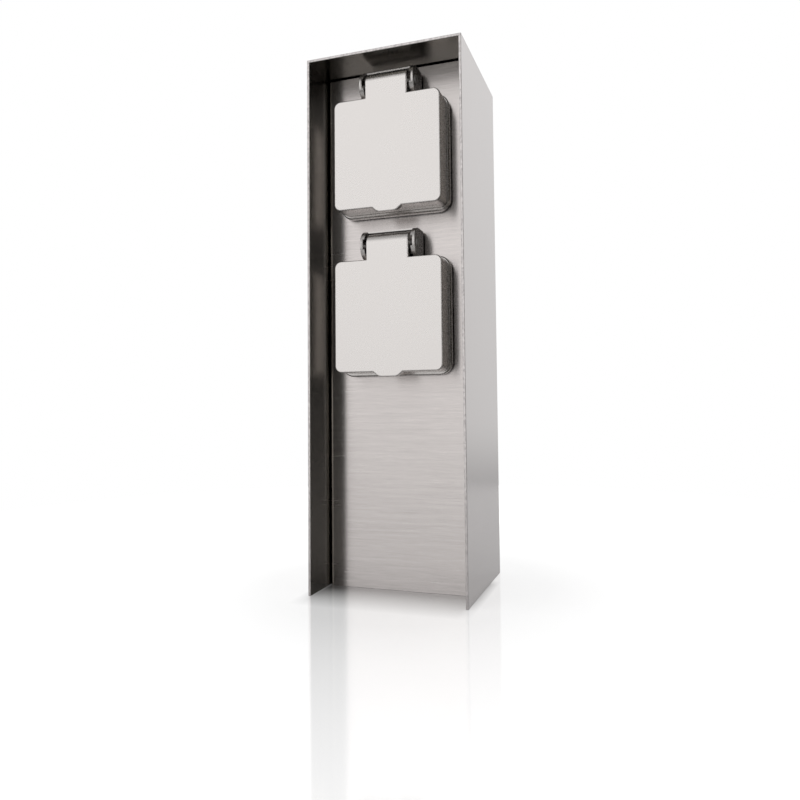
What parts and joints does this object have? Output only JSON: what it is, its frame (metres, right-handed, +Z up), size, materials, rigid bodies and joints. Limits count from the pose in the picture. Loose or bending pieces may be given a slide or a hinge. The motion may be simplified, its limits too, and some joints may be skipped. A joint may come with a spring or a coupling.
{
  "type": "outdoor socket post",
  "caption": "Stainless-steel post with a hooded open front and sprung-lid mains sockets one above the other, to supply power outdoors.",
  "frame": {"origin": "middle of the footprint, at ground level", "axes": "+Z up the post, -Y out of its open front towards the user, +X to the right seen from the front"},
  "size_m": [0.09, 0.085, 0.3],
  "materials": {
    "stainless_housing": "satin sheet",
    "brushed_panel": "brushed across",
    "inner_steel": "mill finish",
    "lid_metal": "satin die casting",
    "frame_metal": "satin die casting",
    "screw_steel": "bright zinc",
    "spring_steel": "drawn wire",
    "seal_rubber": "matt black",
    "insert_plastic": "fine-grained anthracite",
    "block_plastic": "off-white",
    "clamp_nylon": "black",
    "contact_brass": "stamped",
    "tinned_copper": "tinned",
    "live_insulation": "brown",
    "neutral_insulation": "blue",
    "earth_insulation": "green with yellow stripes"
  },
  "bodies": {
    "post": {"housing_shell": "stainless_housing", "front_panel": "brushed_panel", "base_plate": "inner_steel", "housing_screws": "screw_steel", "housing_nuts": "screw_steel", "cable_grommet": "seal_rubber", "clamp_saddle": "clamp_nylon", "cable_clamp": "inner_steel", "clamp_screws": "screw_steel", "earth_stud": "screw_steel", "earth_lug": "tinned_copper", "earth_nut": "screw_steel", "terminal_block": "block_plastic", "block_contacts": "contact_brass", "block_screws": "screw_steel", "block_studs": "screw_steel", "block_nuts": "screw_steel", "live_leads": "live_insulation", "earth_leads": "earth_insulation", "neutral_leads": "neutral_insulation", "earth_link": "earth_insulation", "upper_socket_frame": "frame_metal", "upper_socket_gasket": "seal_rubber", "upper_frame_screws": "screw_steel", "upper_frame_nuts": "screw_steel", "upper_hinge_pin": "screw_steel", "upper_hinge_spring": "spring_steel", "upper_socket_insert": "insert_plastic", "upper_earth_bridge": "contact_brass", "upper_live_contact": "contact_brass", "upper_neutral_contact": "contact_brass", "upper_rear_cover": "insert_plastic", "upper_cover_screws": "screw_steel", "lower_socket_frame": "frame_metal", "lower_socket_gasket": "seal_rubber", "lower_frame_screws": "screw_steel", "lower_frame_nuts": "screw_steel", "lower_hinge_pin": "screw_steel", "lower_hinge_spring": "spring_steel", "lower_socket_insert": "insert_plastic", "lower_earth_bridge": "contact_brass", "lower_live_contact": "contact_brass", "lower_neutral_contact": "contact_brass", "lower_rear_cover": "insert_plastic", "lower_cover_screws": "screw_steel"},
    "upper_lid_body": {"upper_lid": "lid_metal", "upper_lid_seal": "seal_rubber"},
    "lower_lid_body": {"lower_lid": "lid_metal", "lower_lid_seal": "seal_rubber"}
  },
  "joints": [
    {"name": "upper_lid_hinge", "type": "hinge", "parent": "post", "child": "upper_lid_body", "pos_m": [0, -0.0299, 0.2848], "axis": [-1, 0, 0], "range_deg": [0, 115], "stiffness_Nm_per_rad": 0.02, "springref_deg": -34.38, "deforming": ["upper_hinge_spring"]},
    {"name": "lower_lid_hinge", "type": "hinge", "parent": "post", "child": "lower_lid_body", "pos_m": [0, -0.0299, 0.1935], "axis": [-1, 0, 0], "range_deg": [0, 115], "stiffness_Nm_per_rad": 0.02, "springref_deg": -34.38, "deforming": ["lower_hinge_spring"]}
  ]
}
